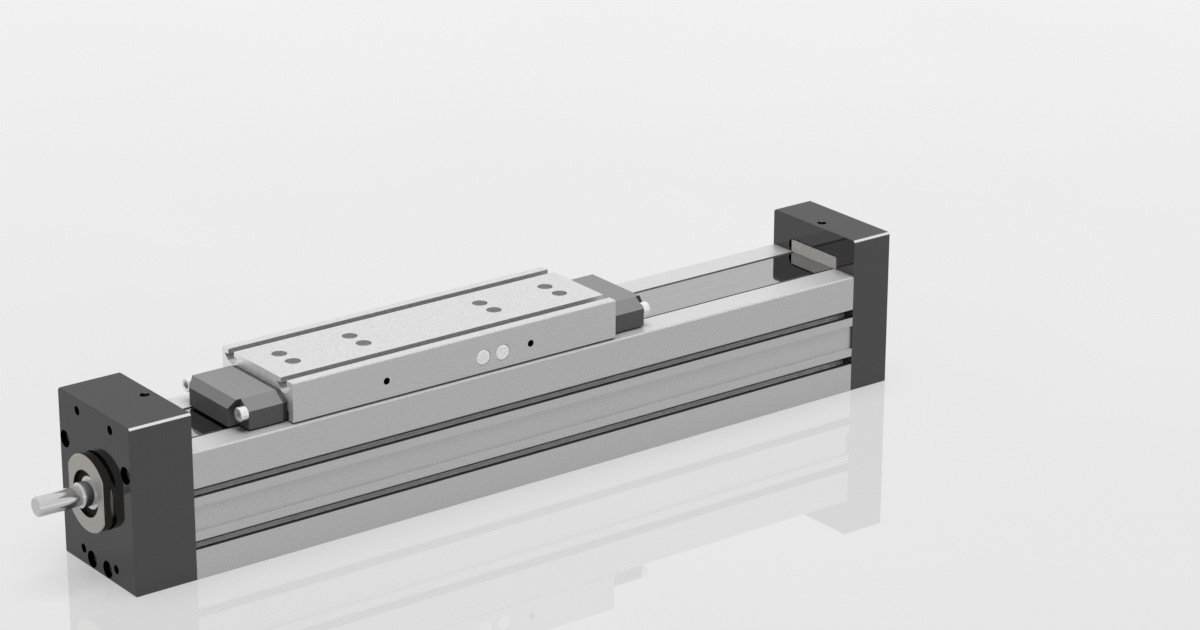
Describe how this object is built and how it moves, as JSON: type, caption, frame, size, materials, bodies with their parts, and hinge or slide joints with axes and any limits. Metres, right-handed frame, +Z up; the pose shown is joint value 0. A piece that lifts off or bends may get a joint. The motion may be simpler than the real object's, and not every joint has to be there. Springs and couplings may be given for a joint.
{
  "type": "linear module",
  "caption": "Ball screw linear module: slotted aluminium profile with a carriage table on a guide rail, dark end blocks, a cover band and a drive journal.",
  "frame": {"origin": "middle of the profile's bottom face", "axes": "+X along the module from the drive block to the idle block, +Z up to the table, +Y across it away from the side seen in the picture"},
  "size_m": [0.5988, 0.08, 0.103],
  "materials": {
    "profile_aluminium": "fine blasted and natural anodised",
    "table_aluminium": "natural anodised, fine grain",
    "machined_aluminium": "milled",
    "block_anodised": "dark anodised, polished",
    "ground_steel": "ground and polished",
    "band_steel": "bright rolled",
    "collar_steel": "turned",
    "dark_steel": "black oxide",
    "black_screws": "black oxide",
    "zinc_screws": "bright zinc",
    "bearing_steel": "ground",
    "clamp_plastic": "moulded, fine grain",
    "cap_plastic": "moulded, fine grain",
    "black_plastic": "moulded",
    "black_rubber": "moulded"
  },
  "bodies": {
    "frame": {"profile": "profile_aluminium", "guide_rail": "ground_steel", "rail_screws": "zinc_screws", "drive_block": "block_anodised", "drive_block_screws": "black_screws", "idle_block": "block_anodised", "idle_block_screws": "black_screws", "bearing_collar": "collar_steel", "shaft_seal": "black_rubber", "drive_bearing_outer_rings": "bearing_steel", "idle_bearing_outer_ring": "bearing_steel", "cover_band": "band_steel", "band_clamp_drive": "clamp_plastic", "band_clamp_idle": "clamp_plastic", "clamp_set_screws": "black_screws", "buffers_drive": "black_rubber", "buffers_idle": "black_rubber"},
    "screw": {"ball_screw": "ground_steel", "drive_bearing_inner_rings": "bearing_steel", "drive_bearing_balls": "bearing_steel", "lock_nut": "dark_steel", "idle_bearing_inner_ring": "bearing_steel", "idle_bearing_balls": "bearing_steel", "retaining_ring": "dark_steel"},
    "carriage": {"table": "table_aluminium", "carriage_core": "machined_aluminium", "neck_plates": "ground_steel", "neck_plate_screws": "zinc_screws", "saddle": "machined_aluminium", "ball_nut": "ground_steel", "nut_lock_screws": "black_screws", "runner_block_drive": "ground_steel", "runner_block_idle": "ground_steel", "runner_end_caps_drive": "black_plastic", "runner_end_caps_idle": "black_plastic", "runner_screws": "zinc_screws", "table_screws": "zinc_screws", "cap_drive": "cap_plastic", "cap_idle": "cap_plastic", "cap_screws_drive": "zinc_screws", "cap_screws_idle": "zinc_screws", "end_seal_drive": "black_rubber", "end_seal_idle": "black_rubber", "band_wiper_drive": "black_rubber", "band_wiper_idle": "black_rubber", "grease_plugs": "zinc_screws"}
  },
  "joints": [
    {"name": "carriage_slide", "type": "slide", "parent": "frame", "child": "carriage", "axis": [1, 0, 0], "range_m": [-0.032, 0.1535]},
    {"name": "screw_spin", "type": "hinge", "parent": "frame", "child": "screw", "pos_m": [0, 0, 0.0515], "axis": [1, 0, 0], "range_deg": [-11060, 2310]}
  ],
  "couplings": [
    {"joint": "screw_spin", "follows": "carriage_slide", "rad_per_m": -1256.6}
  ]
}
